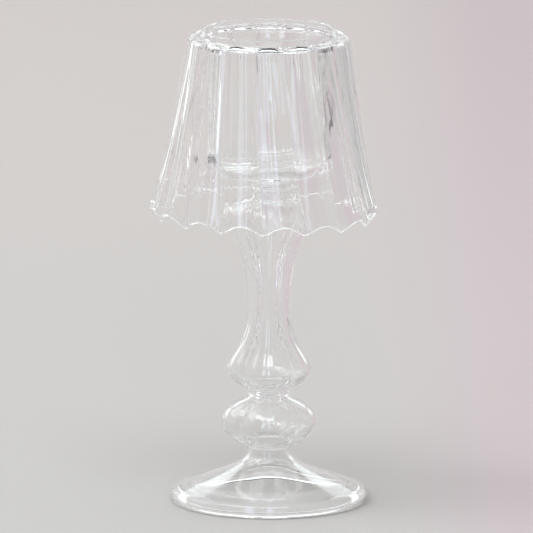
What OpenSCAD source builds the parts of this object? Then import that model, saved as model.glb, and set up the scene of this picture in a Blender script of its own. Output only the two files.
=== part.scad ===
// Tea light holder in clear blown glass, shaped like a small table lamp.
// The stand is a row of hollow sections melted together: foot, knop, collar, column, neck and cup.
// The pleated shade is loose. It hangs by its flat shoulder on the rim of the cup and lifts straight off.
// The origin is on the table under the centre of the foot, +Z is up, and sizes are in millimetres.

/* [Foot] */
// Overall diameter of the foot
foot_d = 104; // [92:1:116]
// Height of the thick rounded edge of the foot
foot_edge = 8.2; // [6:0.1:9]
// Wall of the foot above its edge
foot_wall = 2.2; // [1.6:0.1:2.8]
// Height at which the neck of the foot meets the knop
foot_h = 30; // [27:0.5:36]
// Outer diameter of the joint between foot and knop
foot_neck_d = 22.8; // [21:0.2:27]
// Width of the flat ring that the foot stands on
foot_flat = 1.6; // [1:0.1:2.4]
// How far the flare runs straight down from the neck before it spreads
foot_drop = 9; // [6:0.5:12]
// How far the flare runs straight inwards from the edge before it rises
foot_reach = 33; // [24:1:36]
// Fall of the flare where it meets the edge, in degrees
foot_fall = 20.5; // [16:0.5:24]
// How far in from the thick edge the wall takes to thin out on the hollow side
foot_blend = 6; // [4:0.5:9]

/* [Knop] */
// Diameter of the knop over its lobes
knop_d = 50.6; // [44:0.2:56]
// Height of the knop between its two joints
knop_h = 26.4; // [22:0.2:32]
// Depth of the four grooves between the lobes of the knop
knop_groove = 4; // [1:0.2:5]
// Height over which these grooves run out at both ends
knop_fade = 9; // [6:0.5:12]
// Wall of the knop
knop_wall = 1.8; // [1.4:0.1:2.4]

/* [Collar] */
// Height of the collar between knop and column
collar_h = 5; // [4:0.2:8]
// Outer diameter of the collar and of its two joints
collar_d = 20.8; // [18:0.2:24]
// How far the bead round the middle of the collar stands out
collar_bead = 1; // [0.4:0.1:1.8]

/* [Column] */
// Height of the column between its two joints
column_h = 103; // [90:1:120]
// Diameter of the lower bulge over its lobes
lower_bulge_d = 45.4; // [38:0.2:54]
// Height of the lower bulge above the foot of the column
lower_bulge_z = 9.4; // [7:0.2:12]
// Diameter of the waist over its lobes
waist_d = 22.8; // [21:0.2:28]
// Height of the waist above the foot of the column
waist_z = 43.2; // [38:0.2:50]
// How far the bulges run straight on towards the waist before they draw in
bulge_run = 7; // [4:0.5:9]
// How far the waist runs straight down before it spreads
waist_run_down = 20; // [14:1:24]
// How far the waist runs straight up before it spreads
waist_run_up = 36; // [24:1:40]
// Diameter of the upper bulge over its lobes
upper_bulge_d = 45.4; // [38:0.2:54]
// Depth of the upper bulge below the top of the column
upper_bulge_drop = 11; // [9:0.2:14]
// Depth of the four grooves between the lobes of the column
column_groove = 3.5; // [1:0.1:4]
// Height over which these grooves run out at both ends
column_fade = 9; // [6:0.5:12]
// How far the round ends of the column spread sideways from their joints
column_spread = 3.6; // [2:0.2:6]
// Wall of the column, of the neck and of every joint in the stem
stem_wall = 1.8; // [1.4:0.1:2.2]

/* [Neck] */
// Height of the ringed neck under the cup
neck_h = 12.4; // [10:0.2:16]
// Outer diameter of the neck in its hollows
neck_d = 21.6; // [20:0.2:26]
// How far the rings of the neck stand out
neck_ring = 0.9; // [0.3:0.1:1.4]
// Number of rings on the neck
neck_rings = 3; // [1:1:4]

/* [Cup] */
// Outer diameter of the cup's straight wall
cup_d = 69; // [62:0.5:72]
// Height of the cup from its underside to its rim
cup_h = 71.6; // [62:0.2:82]
// Wall of the cup
cup_wall = 1.9; // [1.5:0.1:2.4]
// Thickness of the cup's floor, the seat of the tea light
cup_floor = 3.2; // [2.4:0.1:4.5]
// Outer radius of the rounded corner at the foot of the cup
cup_corner = 9.5; // [6:0.5:12]
// How far the rim flares out beyond the wall
rim_flare = 2; // [1.5:0.1:2.6]
// Height of the flared part of the rim
rim_flare_h = 5; // [3:0.5:8]

/* [Shade] */
// Diameter over the pleats at the hem
hem_d = 121.6; // [110:0.2:134]
// Height from the lowest points of the hem to the seat under the shoulder
shade_drop = 94; // [82:1:102]
// How far the skirt draws in over the height of the flare above its hem
hem_flick = 3.6; // [1:0.2:6]
// Height of the flare above the hem
hem_flick_h = 12; // [8:1:30]
// How far the skirt spreads over the height of its straight top
top_spread = 5; // [3:0.2:7]
// Height of the straight top of the skirt
top_run = 36; // [20:1:40]
// Number of pleats
pleats = 16; // [12:1:20]
// Depth of the creases between pleats at the hem
pleat_depth = 2.6; // [1:0.1:3.4]
// Depth of the creases where they cut into the shoulder, as far in as the edge of the seat
crimp_depth = 4.1; // [1:0.1:5.5]
// How far the pleats turn about the axis from the shoulder to the hem, in degrees
pleat_twist = 11.5; // [0:0.5:20]
// Rise of the scallops between the points of the hem
scallop = 5; // [2:0.2:7]
// Wall of the shade
shade_wall = 1.9; // [1.5:0.1:2.4]
// Thickness of the flat shoulder that rests on the rim of the cup
shoulder_t = 2.6; // [1.8:0.1:3.2]
// Radius of the rolled outer edge of the shoulder
shoulder_roll = 3.4; // [2.4:0.1:4]
// How far the flat seat reaches beyond the rim of the cup
seat_clearance = 0.8; // [0.5:0.1:2]
// Outer diameter of the collar round the mouth of the shade
mouth_d = 72; // [71:0.2:76]
// Height of the collar above the shoulder
mouth_h = 3.4; // [2.4:0.2:6]
// Wall of the collar
mouth_wall = 1.8; // [1.4:0.1:2.2]

/* [Hidden] */

glass = [0.86, 0.9, 0.89, 0.45];
glass_green = [0.78, 0.88, 0.84, 0.45];
glass_grey = [0.8, 0.83, 0.86, 0.45];

// Counts of steps and sides that the round forms are made with
lathe_sides = 144;
arc_steps = 8;
bead_steps = 14;
blend_steps = 8;
flare_steps = 18;
ring_steps = 8;
knop_bands = 11;
column_end_steps = 4;
column_steps = 6;
lobe_sides = 56;
pleat_sides = 8;
skirt_steps = 7;
hem_steps = 3;

lobes = 4;
// Softness of the creases and of the hem's points, and how steeply grooves and scallops run out
crease_softness = 0.16;
point_softness = 0.35;
run_out_power = 0.8;
scallop_power = 3;

foot_r = foot_d / 2;
foot_neck_r = foot_neck_d / 2;
edge_r = foot_edge / 2;
flat_half = foot_flat / 2;
// The edge is a round bead, sunk a little so that a flat ring is left under it
edge_bead_r = (edge_r * edge_r * 4 + flat_half * flat_half) / (4 * edge_r);
edge_centre = [foot_r - edge_bead_r, foot_edge - edge_bead_r];

knop_z = foot_h;
knop_r = knop_d / 2;
collar_z = knop_z + knop_h;
collar_r = collar_d / 2;
column_z = collar_z + collar_h;
neck_z = column_z + column_h;
neck_r = neck_d / 2;
cup_z = neck_z + neck_h;
cup_r = cup_d / 2;
rim_r = cup_r + rim_flare;
seat_z = cup_z + cup_h;
seat_r = rim_r + seat_clearance;
// The creases reach in to the seat's edge, so the skirt starts this far out
shade_top_r = seat_r + crimp_depth + shade_wall;
shoulder_z = seat_z + shoulder_t;
hem_z = seat_z - shade_drop;
mouth_r = mouth_d / 2;
mouth_bore_r = mouth_r - mouth_wall;

// A point at share t along a cubic curve with four control points
function curve_point(c, t) =
    pow(1 - t, 3) * c[0] + 3 * t * pow(1 - t, 2) * c[1] + 3 * t * t * (1 - t) * c[2] + pow(t, 3) * c[3];

// The curve as a list of points, without its last one
function curve(c, steps) = [for (i = [0:steps - 1]) curve_point(c, i / steps)];

// A point on a circle, at an angle from +X
function arc_point(centre, r, angle) = centre + r * [cos(angle), sin(angle)];

function unit(v) = v / norm(v);

function share(value, start, end) = max(0, min(1, (value - start) / (end - start)));

// An outline moved sideways, to the left of its direction of travel
function moved_left(line, distance) =
    [for (i = [0:len(line) - 1])
        let (before = line[max(i - 1, 0)], after = line[min(i + 1, len(line) - 1)],
             along = unit(after - before))
        line[i] + distance * [-along[1], along[0]]];

function backwards(line) = [for (i = [len(line) - 1:-1:0]) line[i]];

// 0 on the crest of a fold and 1 in the crease, which is rounded by the softness
function crease(turn, softness) =
    let (top = sqrt(1 + softness * softness))
    (top - sqrt(turn * turn + softness * softness)) / (top - softness);

// Joins rings of points into one closed skin. The last ring joins the first.
module ring_skin(rings) {
    sides = len(rings[0]);
    count = len(rings);
    polyhedron(
        points = [for (ring = rings) for (point = ring) point],
        faces = [for (i = [0:count - 1]) for (j = [0:sides - 1])
            let (next_ring = (i + 1) % count, next_side = (j + 1) % sides,
                 a = i * sides + j, b = i * sides + next_side,
                 c = next_ring * sides + next_side, d = next_ring * sides + j)
            for (face = [[a, b, c], [a, c, d]]) face],
        convexity = 8);
}

// A ring round the axis with lobes: one faces the front, and the grooves between are this deep
function lobed_ring(r, z, groove) =
    [for (j = [0:lobe_sides - 1])
        let (angle = 360 * j / lobe_sides,
             reach = r - groove * crease(cos(lobes / 2 * angle), crease_softness))
        [reach * sin(angle), -reach * cos(angle), z]];

// How deep the grooves are at a height: they run out towards both round ends
function run_out(z, bottom, top, length) =
    pow(sin(90 * share(min(z - bottom, top - z), 0, length)), run_out_power);

// A hollow lobed section between two round joints, from its outer line, bottom to top
module lobed_section(line, wall, bores, groove, fade) {
    bottom = line[0][1];
    top = line[len(line) - 1][1];
    inner = [for (p = moved_left(line, wall)) if (p[1] > bottom && p[1] < top) p];
    outline = concat(line, [[bores[1], top]], backwards(inner), [[bores[0], bottom]]);
    ring_skin([for (p = outline) lobed_ring(p[0], p[1], groove * run_out(p[1], bottom, top, fade))]);
}

module foot() {
    along = [cos(foot_fall), -sin(foot_fall)];
    rim = arc_point(edge_centre, edge_bead_r, 90 - foot_fall);
    neck_end = [foot_neck_r, foot_h];
    flare = concat(
        curve([neck_end, neck_end - [0, foot_drop], rim - foot_reach * along, rim], flare_steps),
        [rim]);
    inside = [for (p = moved_left(backwards(flare), foot_wall))
        if (p[1] < foot_h && p[0] < foot_r - foot_edge - foot_blend) p];
    // The bead leaves a gap at its lowest point for the flat ring, and its inner side rises into the wall
    flat_angle = asin(flat_half / edge_bead_r);
    start = [90 - foot_fall, -90 - flat_angle];
    end = [flat_angle - 90, -180];
    bead_side = arc_point(edge_centre, edge_bead_r, end[1]);
    blend = curve([bead_side, bead_side + [0, foot_blend / 2], inside[0] + along * foot_blend / 2, inside[0]],
                  blend_steps);
    color(glass)
    rotate_extrude($fn = lathe_sides)
    polygon(concat(
        flare,
        [for (i = [1:bead_steps])
            arc_point(edge_centre, edge_bead_r, start[0] + (end[0] - start[0]) * i / bead_steps)],
        [for (i = [0:bead_steps])
            arc_point(edge_centre, edge_bead_r, start[1] + (end[1] - start[1]) * i / bead_steps)],
        [for (i = [1:blend_steps - 1]) blend[i]],
        inside,
        [[foot_neck_r - stem_wall, foot_h]]));
}

module knop() {
    low = -acos(foot_neck_r / knop_r);
    high = acos(collar_r / knop_r);
    half_height = knop_h / (sin(high) - sin(low));
    middle = knop_z - half_height * sin(low);
    line = [for (i = [0:knop_bands])
        let (angle = low + (high - low) * i / knop_bands)
        [knop_r * cos(angle), middle + half_height * sin(angle)]];
    color(glass_green)
    lobed_section(line, knop_wall, [foot_neck_r - stem_wall, collar_r - stem_wall],
                  knop_groove, knop_fade);
}

// A short tube with round beads, from its foot at height z
module beaded_tube(r, z, height, bead, beads) {
    steps = ring_steps * beads;
    color(glass_grey)
    translate([0, 0, z])
    rotate_extrude($fn = lathe_sides)
    polygon(concat(
        [[r - stem_wall, 0]],
        [for (i = [0:steps]) [r + bead * pow(sin(180 * beads * i / steps), 2), height * i / steps]],
        [[r - stem_wall, height]]));
}

module stem_collar() {
    beaded_tube(collar_r, collar_z, collar_h, collar_bead, 1);
}

module column() {
    top = column_z + column_h;
    lower = [lower_bulge_d / 2, column_z + lower_bulge_z];
    waist = [waist_d / 2, column_z + waist_z];
    upper = [upper_bulge_d / 2, top - upper_bulge_drop];
    spread = [column_spread, 0];
    line = concat(
        curve([[collar_r, column_z], [collar_r, column_z] + spread, lower - [0, lower_bulge_z / 2], lower],
              column_end_steps),
        curve([lower, lower + [0, bulge_run], waist - [0, waist_run_down], waist], column_steps),
        curve([waist, waist + [0, waist_run_up], upper - [0, bulge_run], upper], column_steps),
        curve([upper, upper + [0, upper_bulge_drop / 2], [neck_r, top] + spread, [neck_r, top]],
              column_end_steps),
        [[neck_r, top]]);
    color(glass)
    lobed_section(line, stem_wall, [collar_r - stem_wall, neck_r - stem_wall],
                  column_groove, column_fade);
}

module cup_neck() {
    beaded_tube(neck_r, neck_z, neck_h, neck_ring, neck_rings);
}

module candle_cup() {
    inner_r = cup_r - cup_wall;
    inner_corner = cup_corner - cup_wall;
    corner = [cup_r - cup_corner, cup_corner];
    inner_centre = [inner_r - inner_corner, cup_floor + inner_corner];
    color(glass_green)
    translate([0, 0, cup_z])
    rotate_extrude($fn = lathe_sides)
    polygon(concat(
        [[0, 0]],
        [for (i = [0:arc_steps]) arc_point(corner, cup_corner, 90 * i / arc_steps - 90)],
        [for (i = [0:arc_steps])
            [cup_r + rim_flare * (1 - cos(90 * i / arc_steps)), cup_h - rim_flare_h * (1 - i / arc_steps)]],
        [for (i = [0:arc_steps])
            [inner_r + rim_flare * (1 - sin(90 * i / arc_steps)), cup_h - rim_flare_h * i / arc_steps]],
        [for (i = [0:arc_steps]) arc_point(inner_centre, inner_corner, -90 * i / arc_steps)],
        [[0, cup_floor]]));
}

// A ring round the shade. fold is how deep its creases are. Lower down the ring is turned further about
// the axis and rises more between the hem's points, one of which faces the front.
function pleated_ring(r, z, fold) =
    let (down = share(z, seat_z, hem_z), rise = scallop * pow(down, scallop_power))
    [for (j = [0:pleats * pleat_sides - 1])
        let (angle = 360 * j / (pleats * pleat_sides), turn = abs(sin(pleats / 2 * angle)),
             reach = r - fold * crease(turn, crease_softness), turned = angle - pleat_twist * (1 - down))
        [reach * sin(turned), -reach * cos(turned), z + rise * (1 - crease(turn, point_softness))]];

// The creases run from the shoulder, where they start at the edge of the seat, down to the hem
function fold_at(r, z) =
    share(r, seat_r, shade_top_r) * (crimp_depth + (pleat_depth - crimp_depth) * share(z, seat_z, hem_z));

module shade_skirt() {
    hem = [hem_d / 2, hem_z + shade_wall / 2];
    roll = [shade_top_r - shoulder_roll, shoulder_z - shoulder_roll];
    top = roll + [shoulder_roll, 0];
    skirt = curve([hem, hem + [-hem_flick, hem_flick_h], top + [top_spread, -top_run], top], skirt_steps);
    line = concat(skirt, [for (i = [0:hem_steps]) arc_point(roll, shoulder_roll, 90 * i / hem_steps)]);
    inside = moved_left(concat(skirt, [top]), shade_wall);
    // The hem is rounded between the outer and the inner side of the wall
    across = inside[0] - hem;
    edge = [for (i = [1:hem_steps])
        let (angle = 180 * i / (hem_steps + 1))
        hem + across * (1 - cos(angle)) / 2 + [-across[1], across[0]] * sin(angle) / 2];
    color(glass)
    ring_skin(concat(
        [for (p = line) pleated_ring(p[0], p[1], fold_at(p[0], p[1]))],
        [for (p = [[mouth_bore_r, shoulder_z], [mouth_bore_r, seat_z], [seat_r, seat_z]])
            pleated_ring(p[0], p[1], 0)],
        [for (p = concat(backwards(inside), backwards(edge)))
            pleated_ring(p[0], p[1], fold_at(p[0] + shade_wall, p[1]))]));
}

module shade_collar() {
    lip_r = mouth_wall / 2;
    lip_centre = [mouth_r - lip_r, mouth_h - lip_r];
    color(glass_grey)
    translate([0, 0, shoulder_z])
    rotate_extrude($fn = lathe_sides)
    polygon(concat(
        [[mouth_bore_r, 0], [mouth_r, 0]],
        [for (i = [0:arc_steps]) arc_point(lip_centre, lip_r, 180 * i / arc_steps)]));
}

foot();
knop();
stem_collar();
column();
cup_neck();
candle_cup();
shade_skirt();
shade_collar();
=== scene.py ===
"""Looks of the clear glass tea light holder: fused stand, loose pleated shade, studio and camera."""
import math

import bmesh
import bpy
import numpy as np
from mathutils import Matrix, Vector


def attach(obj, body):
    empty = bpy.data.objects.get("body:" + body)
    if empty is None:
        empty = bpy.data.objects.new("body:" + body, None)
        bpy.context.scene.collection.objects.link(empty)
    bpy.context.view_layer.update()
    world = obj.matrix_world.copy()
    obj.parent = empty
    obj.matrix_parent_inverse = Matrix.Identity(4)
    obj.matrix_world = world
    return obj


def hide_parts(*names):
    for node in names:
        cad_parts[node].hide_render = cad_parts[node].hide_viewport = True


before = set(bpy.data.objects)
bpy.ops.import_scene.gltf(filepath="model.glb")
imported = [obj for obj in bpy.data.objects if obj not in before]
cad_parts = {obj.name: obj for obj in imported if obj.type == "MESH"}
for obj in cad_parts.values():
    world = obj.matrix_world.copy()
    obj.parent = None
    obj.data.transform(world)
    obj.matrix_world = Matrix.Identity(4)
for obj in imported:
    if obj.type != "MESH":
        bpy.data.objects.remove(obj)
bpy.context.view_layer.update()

scene = bpy.context.scene
MM = 0.001

# Sizes in millimetres, as in the part's source
FOOT_R, FOOT_EDGE, FOOT_WALL, FOOT_H, FOOT_NECK_R, FOOT_FLAT = 52.0, 8.2, 2.2, 30.0, 11.4, 1.6
FOOT_DROP, FOOT_REACH, FOOT_FALL, FOOT_BLEND = 9.0, 33.0, 20.5, 6.0
KNOP_R, KNOP_H, KNOP_GROOVE, KNOP_WALL, KNOP_FADE = 25.3, 26.4, 4.0, 1.8, 9.0
COLLAR_R, COLLAR_H, COLLAR_BEAD = 10.4, 5.0, 1.0
COLUMN_H, LOWER_R, LOWER_Z, WAIST_R, WAIST_Z = 103.0, 22.7, 9.4, 11.4, 43.2
BULGE_RUN, WAIST_DOWN, WAIST_UP, UPPER_R, UPPER_DROP = 7.0, 20.0, 36.0, 22.7, 11.0
COLUMN_GROOVE, COLUMN_FADE, COLUMN_SPREAD, STEM_WALL = 3.5, 9.0, 3.6, 1.8
NECK_H, NECK_R, NECK_RING, NECK_RINGS = 12.4, 10.8, 0.9, 3
CUP_R, CUP_H, CUP_WALL, CUP_FLOOR, CUP_CORNER, RIM_FLARE, RIM_FLARE_H = 34.5, 71.6, 1.9, 3.2, 9.5, 2.0, 5.0
HEM_R, SHADE_DROP, HEM_FLICK, HEM_FLICK_H, TOP_SPREAD, TOP_RUN = 60.8, 94.0, 3.6, 12.0, 5.0, 36.0
PLEATS, PLEAT_DEPTH, CRIMP_DEPTH, SCALLOP, SHADE_WALL, TWIST = 16, 2.6, 4.1, 4.2, 1.9, 11.5
SHOULDER_T, ROLL, SEAT_CLEARANCE, MOUTH_R, MOUTH_H, MOUTH_WALL = 2.6, 3.4, 0.8, 36.0, 3.4, 1.8

# Fine forms of the hand-worked shade: soft creases, rounded points with a bead, a skirt a little askew
CREASE_SOFTNESS, POINT_SOFTNESS, CRIMP_PUFF, INNER_FOLD = 0.12, 0.6, 1.0, 0.7
HEM_BEAD, POINT_BEAD, BEAD_REACH, LEAN, TILT = 0.1, 0.45, 2.0, 1.8, 1.5
RIPPLE = 0.06

COLLAR_Z = FOOT_H + KNOP_H
COLUMN_Z = COLLAR_Z + COLLAR_H
NECK_Z = COLUMN_Z + COLUMN_H
CUP_Z = NECK_Z + NECK_H
SEAT_Z = CUP_Z + CUP_H
SEAT_R = CUP_R + RIM_FLARE + SEAT_CLEARANCE
TOP_R = SEAT_R + CRIMP_DEPTH + SHADE_WALL
SHOULDER_Z = SEAT_Z + SHOULDER_T
HEM_Z = SEAT_Z - SHADE_DROP
AIR = 0.08
BORE_R = MOUTH_R - MOUTH_WALL


def at(r, z):
    return np.array([r, z], float)


def curve(points, steps):
    """A cubic curve through four control points, with its last point."""
    c = np.array(points, float)
    t = np.linspace(0, 1, steps + 1)[:, None]
    return (1 - t) ** 3 * c[0] + 3 * t * (1 - t) ** 2 * c[1] + 3 * t * t * (1 - t) * c[2] + t ** 3 * c[3]


def arc(centre, r, start, end, steps):
    a = np.radians(np.linspace(start, end, steps + 1))[:, None]
    return np.array(centre) + r * np.hstack([np.cos(a), np.sin(a)])


def along(line):
    """The unit direction of travel at each point of a line."""
    d = np.vstack([line[1:2] - line[:1], line[2:] - line[:-2], line[-1:] - line[-2:-1]])
    return d / np.linalg.norm(d, axis=1)[:, None]


def moved_left(line, distance):
    d = along(line)
    return line + distance * np.stack([-d[:, 1], d[:, 0]], 1)


def join(*lines):
    """One line from several, without the points that repeat."""
    out = [np.array(lines[0][0], float)]
    for line in lines:
        for p in line:
            if np.linalg.norm(p - out[-1]) > 0.02:
                out.append(np.array(p, float))
    return np.array(out)


def rounded(line, spots, reach, steps=6):
    """The line with a soft curve in place of the corner at each spot, as melted glass has."""
    line = list(map(np.array, line))
    for spot in spots:
        i = min(range(1, len(line) - 1), key=lambda k: np.linalg.norm(line[k] - spot))

        def walk(step):
            k, left = i, reach
            while 0 < k < len(line) - 1:
                gap = np.linalg.norm(line[k + step] - line[k])
                if gap >= left:
                    return k, line[k] + (line[k + step] - line[k]) * left / gap
                left -= gap
                k += step
            return k, line[k]
        a, before = walk(-1)
        b, after = walk(1)
        corner = line[i]
        bend = [(1 - t) ** 2 * before + 2 * t * (1 - t) * corner + t * t * after for t in np.linspace(0, 1, steps + 1)]
        line = line[:a] + bend + line[b + 1:]
    return np.array(line)


def evened(line, step, least=0.0):
    """The line with points at about this spacing, closer where it bends, but never closer than the least."""
    kept = [line[0]]
    for p in line[1:-1]:
        if min(np.linalg.norm(p - kept[-1]), np.linalg.norm(p - line[-1])) >= least:
            kept.append(p)
    line = np.array(kept + [line[-1]])
    gaps = np.linalg.norm(np.diff(line, axis=0), axis=1)
    out = []
    for a, b, gap in zip(line[:-1], line[1:], gaps):
        n = max(1, int(math.ceil(gap / step)))
        out += [a + (b - a) * k / n for k in range(n)]
    return np.array(out + [line[-1]])


def crease(turn, softness):
    top = math.sqrt(1 + softness * softness)
    return (top - np.sqrt(turn ** 2 + softness * softness)) / (top - softness)


def closed_mesh(name, rings, poles=()):
    """A closed skin over rings of points. With poles, the first and last ring close on a point; else they join."""
    count, sides = len(rings), len(rings[0])
    verts = [tuple(p) for ring in rings for p in ring]
    faces = []
    for i in range(count if not poles else count - 1):
        k = (i + 1) % count
        for j in range(sides):
            m = (j + 1) % sides
            faces.append((i * sides + j, i * sides + m, k * sides + m, k * sides + j))
    for which, pole in zip((0, count - 1), poles):
        verts.append(tuple(pole))
        for j in range(sides):
            faces.append((which * sides + j, which * sides + (j + 1) % sides, len(verts) - 1))
    mesh = bpy.data.meshes.new(name)
    mesh.from_pydata([(x * MM, y * MM, z * MM) for x, y, z in verts], [], faces)
    solid = bmesh.new()
    solid.from_mesh(mesh)
    bmesh.ops.recalc_face_normals(solid, faces=solid.faces)
    solid.to_mesh(mesh)
    solid.free()
    mesh.shade_smooth()
    piece = bpy.data.objects.new(name, mesh)
    scene.collection.objects.link(piece)
    return piece


# ---------------------------------------------------------------- stand

def foot_lines():
    edge_r, flat = FOOT_EDGE / 2, FOOT_FLAT / 2
    bead = (edge_r * edge_r * 4 + flat * flat) / (4 * edge_r)
    centre = at(FOOT_R - bead, FOOT_EDGE - bead)
    fall = math.radians(FOOT_FALL)
    way = at(math.cos(fall), -math.sin(fall))
    rim = centre + bead * at(math.sin(fall), math.cos(fall))
    neck = at(FOOT_NECK_R, FOOT_H)
    flare = curve([neck, neck - at(0, FOOT_DROP), rim - FOOT_REACH * way, rim], 40)
    low = math.degrees(math.asin(flat / bead))
    outer = join(arc(centre, bead, -90 + low, 90 - FOOT_FALL, 28), flare[::-1])
    inside = moved_left(flare[::-1], FOOT_WALL)
    inside = np.array([p for p in inside if p[1] < FOOT_H and p[0] < FOOT_R - FOOT_EDGE - FOOT_BLEND])
    side, half = centre - at(bead, 0), FOOT_BLEND / 2
    blend = curve([side, side + at(0, half), inside[0] + half * way, inside[0]], 16)
    inner = join(arc(centre, bead, -90 - low, -180, 20), blend, inside, [at(FOOT_NECK_R - STEM_WALL, FOOT_H)])
    return outer, inner


def beaded(r, z, height, bead, beads, steps=14):
    t = np.linspace(0, 1, steps * beads + 1)
    return np.stack([r + bead * np.sin(np.pi * beads * t) ** 2, z + height * t], 1)


def knop_line():
    low, high = -math.acos(FOOT_NECK_R / KNOP_R), math.acos(COLLAR_R / KNOP_R)
    half = KNOP_H / (math.sin(high) - math.sin(low))
    a = np.linspace(low, high, 41)
    return np.stack([KNOP_R * np.cos(a), FOOT_H - half * math.sin(low) + half * np.sin(a)], 1)


def column_line():
    top = COLUMN_Z + COLUMN_H
    lower, waist, upper = at(LOWER_R, COLUMN_Z + LOWER_Z), at(WAIST_R, COLUMN_Z + WAIST_Z), at(UPPER_R, top - UPPER_DROP)
    start, end, spread = at(COLLAR_R, COLUMN_Z), at(NECK_R, top), at(COLUMN_SPREAD, 0)
    return join(
        curve([start, start + spread, lower - at(0, LOWER_Z / 2), lower], 16),
        curve([lower, lower + at(0, BULGE_RUN), waist - at(0, WAIST_DOWN), waist], 26),
        curve([waist, waist + at(0, WAIST_UP), upper - at(0, BULGE_RUN), upper], 34),
        curve([upper, upper + at(0, UPPER_DROP / 2), end + spread, end], 16))


def cup_lines():
    corner = at(CUP_R - CUP_CORNER, CUP_Z + CUP_CORNER)
    inner_corner = at(CUP_R - CUP_CORNER, CUP_Z + CUP_FLOOR + CUP_CORNER - CUP_WALL)
    rim_z = CUP_Z + CUP_H - AIR
    t = np.linspace(0, 1, 9)
    flare = np.stack([CUP_R + RIM_FLARE * (1 - np.cos(np.pi / 2 * t)), rim_z - RIM_FLARE_H * (1 - t)], 1)
    outer = join([at(NECK_R, CUP_Z)], arc(corner, CUP_CORNER, -90, 0, 20), flare)
    inner_rim = at(CUP_R - CUP_WALL, 0) * 1.0
    back = np.stack([inner_rim[0] + RIM_FLARE * (1 - np.sin(np.pi / 2 * t)), rim_z - RIM_FLARE_H * t], 1)
    inner = join(back, arc(inner_corner, CUP_CORNER - CUP_WALL, 0, -90, 18), [at(1.2, CUP_Z + CUP_FLOOR)])
    return outer, inner


def groove_at(z):
    """Depth of the grooves at a height: on the knop and on the column, running out towards their joints."""
    depth = 0.0
    for bottom, top, full, fade in ((FOOT_H, COLLAR_Z, KNOP_GROOVE, KNOP_FADE), (COLUMN_Z, NECK_Z, COLUMN_GROOVE, COLUMN_FADE)):
        if bottom < z < top:
            depth = full * math.sin(math.pi / 2 * min(1, min(z - bottom, top - z) / fade)) ** 0.8
    return depth


SIDES = 200
LUMP = 0.9


def share(v, start, end):
    return np.clip((v - start) / (end - start), 0, 1)


def lobed_ring(r, z, softness):
    a = 2 * np.pi * np.arange(SIDES) / SIDES
    reach = r - groove_at(z) * crease(np.cos(2 * a), softness)
    low = math.exp(-((z - CUP_Z - 5) / 4) ** 2) if z > CUP_Z else 0.0
    lump = LUMP * low * share(r, 4, 24)
    reach = reach + lump * (np.sin(7 * a + 0.6) - 1) / 2
    up = z + lump * np.sin(5 * a + 1.1) * (z > CUP_Z + 1)
    return np.stack([reach * np.sin(a), -reach * np.cos(a), up], 1)


def make_stand():
    foot_out, foot_in = foot_lines()
    knop, column = knop_line(), column_line()
    cup_out, cup_in = cup_lines()
    outer = join(foot_out, knop, beaded(COLLAR_R, COLLAR_Z, COLLAR_H, COLLAR_BEAD, 1), column,
                 beaded(NECK_R, NECK_Z, NECK_H, NECK_RING, NECK_RINGS), cup_out)
    outer = rounded(outer, [at(FOOT_NECK_R, FOOT_H), at(COLLAR_R, COLLAR_Z), at(COLLAR_R, COLUMN_Z), at(NECK_R, NECK_Z),
                            at(NECK_R, CUP_Z)], 1.3)
    knop_in, column_in = moved_left(knop, KNOP_WALL), moved_left(column, STEM_WALL)
    keep = lambda line, low, high: np.array([p for p in line if low < p[1] < high])
    inner = join(foot_in, keep(knop_in, FOOT_H, COLLAR_Z), [at(COLLAR_R - STEM_WALL, COLLAR_Z), at(COLLAR_R - STEM_WALL, COLUMN_Z)],
                 keep(column_in, COLUMN_Z, NECK_Z), [at(NECK_R - STEM_WALL, NECK_Z), at(NECK_R - STEM_WALL, CUP_Z), at(1.0, CUP_Z)])
    inner = rounded(inner, [at(FOOT_NECK_R - STEM_WALL, FOOT_H), at(COLLAR_R - STEM_WALL, COLLAR_Z),
                            at(COLLAR_R - STEM_WALL, COLUMN_Z), at(NECK_R - STEM_WALL, NECK_Z), at(NECK_R - STEM_WALL, CUP_Z)], 1.2)
    outer, inner = evened(join(outer, cup_in), 2.4, 0.75), evened(inner, 2.4, 0.75)
    rings = [lobed_ring(r, z, 0.16) for r, z in inner[::-1]] + [lobed_ring(r, z, 0.16) for r, z in outer]
    return closed_mesh("stand_glass", rings, [(0, 0, CUP_Z), (0, 0, CUP_Z + CUP_FLOOR)])


# ---------------------------------------------------------------- shade

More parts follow.
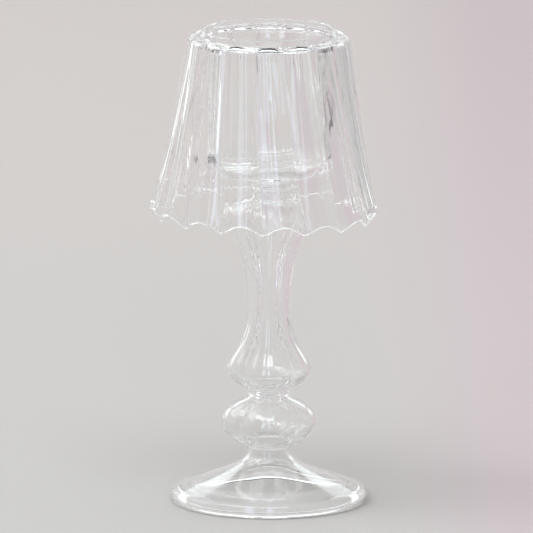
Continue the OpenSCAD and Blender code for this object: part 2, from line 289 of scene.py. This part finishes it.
def make_shade():
    """The loose shade as one closed skin: lip, crimped shoulder, twisted pleats and rounded scalloped hem."""
    hem = at(HEM_R, HEM_Z + SHADE_WALL / 2)
    roll = at(TOP_R - ROLL, SHOULDER_Z - ROLL)
    top = roll + at(ROLL, 0)
    skirt = join(curve([hem, hem + at(-HEM_FLICK, HEM_FLICK_H), top + at(TOP_SPREAD, -TOP_RUN), top], 60),
                 arc(roll, ROLL, 0, 90, 16), [at(SEAT_R, SHOULDER_Z)])
    length = np.concatenate([[0], np.cumsum(np.linalg.norm(np.diff(skirt, axis=0), axis=1))])
    end = length[-1]
    spots = np.concatenate([np.arange(0, 7, 0.7), np.arange(7, end - 16, 2.0), np.arange(end - 16, end, 0.7)])
    wall = np.stack([np.interp(spots, length, skirt[:, 0]), np.interp(spots, length, skirt[:, 1])], 1)
    d = along(wall)
    inward = np.stack([-d[:, 1], d[:, 0]], 1)
    per = 24
    t = np.arange(per) / per
    spread = t - 0.8 * np.sin(2 * np.pi * t) / (2 * np.pi)
    a = np.concatenate([(k + spread) * 2 * np.pi / PLEATS for k in range(PLEATS)])
    turn = np.abs(np.sin(PLEATS / 2 * a))
    valley, point = crease(turn, CREASE_SOFTNESS), crease(turn, POINT_SOFTNESS)
    near = np.tile(np.minimum(spread, 1 - spread) * 2 * np.pi / PLEATS, PLEATS)

    def ring(r, z, inset=0.0, ease=1.0):
        """Places one line of points, one for each angle, folded, lifted and turned as its height asks.

        A ring of the inner side lies this inset within the outer one, and its folds are less deep.
        """
        down = share(z, SEAT_Z, HEM_Z)
        out = share(r + inset, SEAT_R, TOP_R)
        fold = out * (CRIMP_DEPTH + (PLEAT_DEPTH - CRIMP_DEPTH) * down) * ease
        puff = CRIMP_PUFF * np.sin(np.pi * out) * share(z, SHOULDER_Z - ROLL, SHOULDER_Z)
        wave = np.sin(37 * a + 0.4) + np.sin(53 * a + 2.1) + np.sin(67 * a + 4.0 + inset)
        reach = r - fold * valley + RIPPLE * out * wave
        turned = a + math.radians(TWIST) * (down - 1)
        x, y = reach * np.sin(turned), -reach * np.cos(turned)
        up = z + SCALLOP * down ** 3 * (1 - point) + puff * (0.5 - valley)
        askew = x - math.tan(math.radians(LEAN)) * SHADE_DROP * down
        return np.stack([askew, y, up - math.tan(math.radians(TILT)) * x * down], 1)

    def bead(s):
        """Extra half thickness at this distance up from the hem, greatest at each point of the hem."""
        spot = np.exp(-((near * HEM_R) ** 2 + s * s) / BEAD_REACH ** 2)
        return HEM_BEAD * np.exp(-(s / BEAD_REACH) ** 2) + POINT_BEAD * spot

    rings = [ring(p[0] - n[0] * bead(s), p[1] - n[1] * bead(s)) for p, n, s in zip(wall, inward, spots)]
    lip_r = MOUTH_WALL / 2
    lip = join(
        [at(SEAT_R, SHOULDER_Z), at(MOUTH_R, SHOULDER_Z), at(MOUTH_R, SHOULDER_Z + 1.2)],
        arc(at(MOUTH_R - lip_r, SHOULDER_Z + MOUTH_H - lip_r), lip_r, 0, 180, 14),
        [at(BORE_R, SEAT_Z + 0.8), at(BORE_R, SEAT_Z), at(BORE_R + 0.8, SEAT_Z), at(SEAT_R, SEAT_Z)])
    lip = rounded(lip, [at(MOUTH_R, SHOULDER_Z), at(BORE_R, SEAT_Z)], 1.0)
    for p in evened(lip[1:], 0.8)[1:]:
        rings.append(ring(np.full(len(a), p[0]), np.full(len(a), p[1])))
    thickness = SHADE_WALL + (SHOULDER_T - SHADE_WALL) * share(wall[:, 0], TOP_R - ROLL, SEAT_R)
    for p, n, s, t in list(zip(wall, inward, spots, thickness))[::-1]:
        full = t + bead(s)
        rings.append(ring(p[0] + n[0] * full, p[1] + n[1] * full, -n[0] * t, INNER_FOLD))
    p, n = wall[0] + inward[0] * SHADE_WALL / 2, inward[0]
    h = SHADE_WALL / 2 + bead(0.0)
    for angle in np.radians(np.linspace(0, 180, 12)[1:-1]):
        c, k = math.cos(angle), math.sin(angle)
        ease = INNER_FOLD + (1 - INNER_FOLD) * (1 - c) / 2
        rings.append(ring(p[0] + h * (n[0] * c - n[1] * k), p[1] + h * (n[1] * c + n[0] * k), SHADE_WALL, ease))
    return closed_mesh("shade_glass_body", rings)


# ---------------------------------------------------------------- materials

def glass(name, tint, streaks):
    m = bpy.data.materials.new(name)
    m.use_nodes = True
    tree = m.node_tree
    b = tree.nodes["Principled BSDF"]
    b.inputs["Base Color"].default_value = (*tint, 1)
    b.inputs["Transmission Weight"].default_value = 1.0
    b.inputs["IOR"].default_value = 1.48
    spot = tree.nodes.new("ShaderNodeTexCoord")
    wave = tree.nodes.new("ShaderNodeTexNoise")
    wave.inputs["Scale"].default_value = 55
    wave.inputs["Detail"].default_value = 1.0
    stretch = tree.nodes.new("ShaderNodeMapping")
    stretch.inputs["Scale"].default_value = streaks
    tree.links.new(spot.outputs["Object"], stretch.inputs["Vector"])
    tree.links.new(stretch.outputs[0], wave.inputs["Vector"])
    bump = tree.nodes.new("ShaderNodeBump")
    bump.inputs["Strength"].default_value = 0.25
    bump.inputs["Distance"].default_value = 0.0006
    tree.links.new(wave.outputs["Fac"], bump.inputs["Height"])
    tree.links.new(bump.outputs[0], b.inputs["Normal"])
    film = tree.nodes.new("ShaderNodeTexNoise")
    film.inputs["Scale"].default_value = 22
    film.inputs["Detail"].default_value = 4
    tree.links.new(spot.outputs["Object"], film.inputs["Vector"])
    ramp = tree.nodes.new("ShaderNodeMapRange")
    ramp.inputs["From Min"].default_value = 0.45
    ramp.inputs["From Max"].default_value = 0.8
    ramp.inputs["To Min"].default_value = 0.0
    ramp.inputs["To Max"].default_value = 0.03
    tree.links.new(film.outputs["Fac"], ramp.inputs["Value"])
    tree.links.new(ramp.outputs[0], b.inputs["Roughness"])
    return m


stand = make_stand()
stand.data.materials.append(glass("clear_glass_stand", (0.996, 1.0, 0.998), (1, 1, 0.5)))
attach(stand, "stand")
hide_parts("foot", "knop", "stem_collar", "column", "cup_neck", "candle_cup")

shade = make_shade()
shade.data.materials.append(glass("clear_glass_shade", (0.996, 1.0, 0.998), (1, 1, 0.12)))
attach(shade, "shade")
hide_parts("shade_skirt", "shade_collar")


# ---------------------------------------------------------------- studio

def plain(name, colour):
    m = bpy.data.materials.new(name)
    m.use_nodes = True
    b = m.node_tree.nodes["Principled BSDF"]
    b.inputs["Base Color"].default_value = (*colour, 1)
    b.inputs["Roughness"].default_value = 0.9
    b.inputs["Specular IOR Level"].default_value = 0.1
    return m


def disc(name, r, z, material):
    mesh = bpy.data.meshes.new(name)
    n = 96
    spots = [(r * math.cos(2 * math.pi * k / n), r * math.sin(2 * math.pi * k / n), z) for k in range(n)]
    mesh.from_pydata(spots, [], [tuple(range(n))])
    ob = bpy.data.objects.new(name, mesh)
    scene.collection.objects.link(ob)
    mesh.materials.append(material)


def sheet(name, x0, x1, y0, y1, z, material):
    mesh = bpy.data.meshes.new(name)
    mesh.from_pydata([(x0, y0, z), (x1, y0, z), (x1, y1, z), (x0, y1, z)], [], [(0, 1, 2, 3)])
    ob = bpy.data.objects.new(name, mesh)
    scene.collection.objects.link(ob)
    mesh.materials.append(material)
    return ob


def flag(name, x0, x1, y0, y1, colour, radiance):
    """A card on the table that only the glass shows: the camera and the paper don't see it."""
    ob = sheet(name, x0, x1, y0, y1, 0.0006, shining(name, colour, radiance))
    ob.visible_camera = False
    ob.visible_diffuse = False
    ob.visible_shadow = False


def shining(name, colour, radiance):
    m = bpy.data.materials.new(name)
    m.use_nodes = True
    b = m.node_tree.nodes["Principled BSDF"]
    b.inputs["Base Color"].default_value = (0, 0, 0, 1)
    b.inputs["Emission Color"].default_value = (*colour, 1)
    b.inputs["Emission Strength"].default_value = radiance
    return m


# The far paper colour is painted lighter than the near one: painted light that makes up for lamp light falling off far
# back.
PAPER, PAPER_FAR_PAINTED_LIGHT, PAPER_PINK = (0.537, 0.524, 0.506), (0.608, 0.569, 0.547), (0.573, 0.503, 0.516)
TABLE = (0.56, 0.55, 0.54)


def shaded_paper():
    """Paper painted a little lighter and warmer far back, the lighter tone standing in for lamp light that falls off
    there; it turns a little pink on the right.
    """
    m = plain("paper", PAPER)
    tree = m.node_tree
    place = tree.nodes.new("ShaderNodeTexCoord")
    axes = tree.nodes.new("ShaderNodeSeparateXYZ")
    tree.links.new(place.outputs["Object"], axes.inputs[0])
    colour = None
    for axis, start, end, over in ((1, 0.0, 1.5, PAPER_FAR_PAINTED_LIGHT), (0, 0.04, 0.15, PAPER_PINK)):
        ramp = tree.nodes.new("ShaderNodeMapRange")
        ramp.interpolation_type = "SMOOTHSTEP"
        ramp.inputs["From Min"].default_value = start
        ramp.inputs["From Max"].default_value = end
        tree.links.new(axes.outputs[axis], ramp.inputs["Value"])
        mix = tree.nodes.new("ShaderNodeMix")
        mix.data_type = "RGBA"
        mix.inputs[6].default_value = (*PAPER, 1)
        mix.inputs[7].default_value = (*over, 1)
        tree.links.new(ramp.outputs[0], mix.inputs[0])
        if colour:
            tree.links.new(colour, mix.inputs[6])
        colour = mix.outputs[2]
    tree.links.new(colour, tree.nodes["Principled BSDF"].inputs["Base Color"])
    return m


def floor():
    disc("table", 6.0, -0.004, plain("table", TABLE))
    sheet("paper", -0.75, 0.62, -2.5, 5.5, 0.0, shaded_paper())
    for name, azimuth, width in (("streak_left", -14.4, 5.4), ("streak_right", 0.6, 3.6)):
        middle, half = math.tan(math.radians(azimuth)), math.tan(math.radians(width / 2))
        flag(name, 1.15 * (middle - half), 1.15 * (middle + half), -1.3, -1.02, (0.72, 0.86, 1.1), 2.2)
    for name, x0, x1, y0, y1, colour, radiance in FLAGS:
        flag(name, x0, x1, y0, y1, colour, radiance)
    # Painted pool of light: a faintly glowing disc under the foot stands in for the light the glass foot gathers on the
    # paper, and covers the shadow the glass casts there.
    pool = shining("light_pool", (1, 0.985, 0.97), 0.26)
    pool.node_tree.nodes["Principled BSDF"].inputs["Base Color"].default_value = (0.5, 0.49, 0.48, 1)
    pool.node_tree.nodes["Principled BSDF"].inputs["Roughness"].default_value = 0.9
    disc("light_pool", 0.0508, 0.0004, pool)


WARM_DARK, GREEN_WHITE = (1, 0.8, 0.75), (0.94, 1.0, 0.97)
FLAGS = (
    ("bright_left", -0.56, -0.38, 0.75, 1.35, GREEN_WHITE, 1.7),
    ("dark_far_left", -0.60, -0.57, 0.6, 1.8, WARM_DARK, 0.05),
    ("dark_near_right", 0.37, 0.40, 0.7, 1.6, WARM_DARK, 0.03),
    ("dark_corner", 0.82, 1.15, 0.6, 1.0, WARM_DARK, 0.03),
    ("bright_end_left", -1.55, -1.1, 2.0, 2.7, GREEN_WHITE, 1.8),
    ("bright_end_right", 1.2, 1.6, 1.9, 2.4, GREEN_WHITE, 1.3),
    ("dark_far_right", 0.66, 0.71, 0.8, 2.2, WARM_DARK, 0.03),
)


ROOM_R = 5.0


def panel(name, azimuth, elevation, width, height, radiance, colour=(1, 1, 1)):
    """A soft light seen from the object at this place and of this size, in degrees.

    Azimuth 0 is the camera's side, and positive turns to the right of the picture.
    """
    light = bpy.data.lights.new(name, "AREA")
    light.shape = "RECTANGLE"
    light.size, light.size_y = (2 * ROOM_R * math.tan(math.radians(v) / 2) for v in (width, height))
    light.energy = radiance * math.pi * light.size * light.size_y
    light.color = colour
    a, e = math.radians(azimuth), math.radians(elevation)
    ob = bpy.data.objects.new(name, light)
    ob.location = ROOM_R * Vector((math.sin(a) * math.cos(e), -math.cos(a) * math.cos(e), math.sin(e)))
    ob.rotation_euler = (-ob.location).to_track_quat("-Z", "Y").to_euler()
    ob.location += Vector((0, 0, 0.12))
    scene.collection.objects.link(ob)


floor()
DAYLIGHT = (0.93, 0.98, 1.0)
panel("window_left", -56, 58, 40, 20, 4.0, DAYLIGHT)
panel("window_right", 10, 58, 26, 20, 4.0, DAYLIGHT)
panel("sky_left", -105, 42, 40, 30, 1.6, DAYLIGHT)

# Places on the walls of the room: azimuth and half its width, lowest and highest elevation, colour, radiance
PLACES = (
    ("front_wall", 0, 70, -15, 40, (1, 0.87, 0.89), 0.5),
    ("band_behind", 180, 32, 23, 36, (0.92, 0.98, 1), 1.9),
    ("dark_above_behind", 180, 22, 38, 62, WARM_DARK, 0.02),
    ("back_left", 218, 12, 8, 20, GREEN_WHITE, 1.6),
    ("back_right", 142, 10, 8, 20, GREEN_WHITE, 1.4),
    ("front_left", 335, 5, 0, 40, (0.8, 0.9, 1.1), 3.0),
    ("front", 2, 3, 0, 40, (0.8, 0.9, 1.1), 3.0),
)
BASE_LEFT, BASE_RIGHT = (0.72, 0.71, 0.70), (0.64, 0.62, 0.62)
EDGE = 2.5


def room():
    """Pale walls, brighter on the left, with dark and bright places that the glass shows."""
    world = bpy.data.worlds.new("room")
    scene.world = world
    world.use_nodes = True
    tree = world.node_tree
    place = tree.nodes.new("ShaderNodeTexCoord")
    axes = tree.nodes.new("ShaderNodeSeparateXYZ")
    tree.links.new(place.outputs["Generated"], axes.inputs[0])
    level = tree.nodes.new("ShaderNodeVectorMath")
    level.operation = "MULTIPLY"
    level.inputs[1].default_value = (1, 1, 0)
    tree.links.new(place.outputs["Generated"], level.inputs[0])
    compass = tree.nodes.new("ShaderNodeVectorMath")
    compass.operation = "NORMALIZE"
    tree.links.new(level.outputs[0], compass.inputs[0])

    def ramp(source, start, end, low=0.0, high=1.0):
        n = tree.nodes.new("ShaderNodeMapRange")
        n.interpolation_type = "SMOOTHSTEP"
        for name, v in (("From Min", start), ("From Max", end), ("To Min", low), ("To Max", high)):
            n.inputs[name].default_value = v
        tree.links.new(source, n.inputs["Value"])
        return n.outputs[0]

    def product(a, b):
        n = tree.nodes.new("ShaderNodeMath")
        n.operation = "MULTIPLY"
        tree.links.new(a, n.inputs[0])
        tree.links.new(b, n.inputs[1])
        return n.outputs[0]

    def mixed(share, under, over):
        n = tree.nodes.new("ShaderNodeMix")
        n.data_type = "RGBA"
        n.inputs[0].default_value = 0.0
        tree.links.new(share, n.inputs[0])
        for socket, colour in ((n.inputs[6], under), (n.inputs[7], over)):
            if isinstance(colour, tuple):
                socket.default_value = (*colour, 1)
            else:
                tree.links.new(colour, socket)
        return n.outputs[2]

    def sine(degrees):
        return math.sin(math.radians(degrees))

    side = ramp(axes.outputs[0], -0.9, 0.9)
    colour = mixed(side, BASE_LEFT, BASE_RIGHT)
    for name, azimuth, half, lowest, highest, tint, radiance in PLACES:
        way = tree.nodes.new("ShaderNodeVectorMath")
        way.operation = "DOT_PRODUCT"
        way.label = name
        way.inputs[1].default_value = (sine(azimuth), -sine(azimuth + 90), 0)
        tree.links.new(compass.outputs[0], way.inputs[0])
        across = ramp(way.outputs["Value"], sine(90 - half - EDGE), sine(90 - half + EDGE))
        above = ramp(axes.outputs[2], sine(lowest - EDGE / 2), sine(lowest + EDGE / 2))
        below = ramp(axes.outputs[2], sine(highest + EDGE / 2), sine(highest - EDGE / 2))
        share_here = product(across, product(above, below))
        colour = mixed(share_here, colour, tuple(radiance * c for c in tint))
    tree.links.new(colour, tree.nodes["Background"].inputs[0])


room()
scene.view_settings.view_transform = "Standard"
scene.cycles.max_bounces = 64
scene.cycles.transmission_bounces = 64
scene.cycles.glossy_bounces = 64

camera = bpy.data.cameras.new("camera")
eye = bpy.data.objects.new("camera", camera)
scene.collection.objects.link(eye)
ELEVATION, DISTANCE, AIM = math.radians(10.8), 8.0, Vector((-0.0012, 0, 0.1266))
eye.location = AIM + DISTANCE * Vector((0, -math.cos(ELEVATION), math.sin(ELEVATION)))
eye.rotation_euler = (math.pi / 2 - ELEVATION, 0, 0)
camera.lens, camera.sensor_width, camera.clip_end = 1017.8, 36, 60
scene.camera = eye
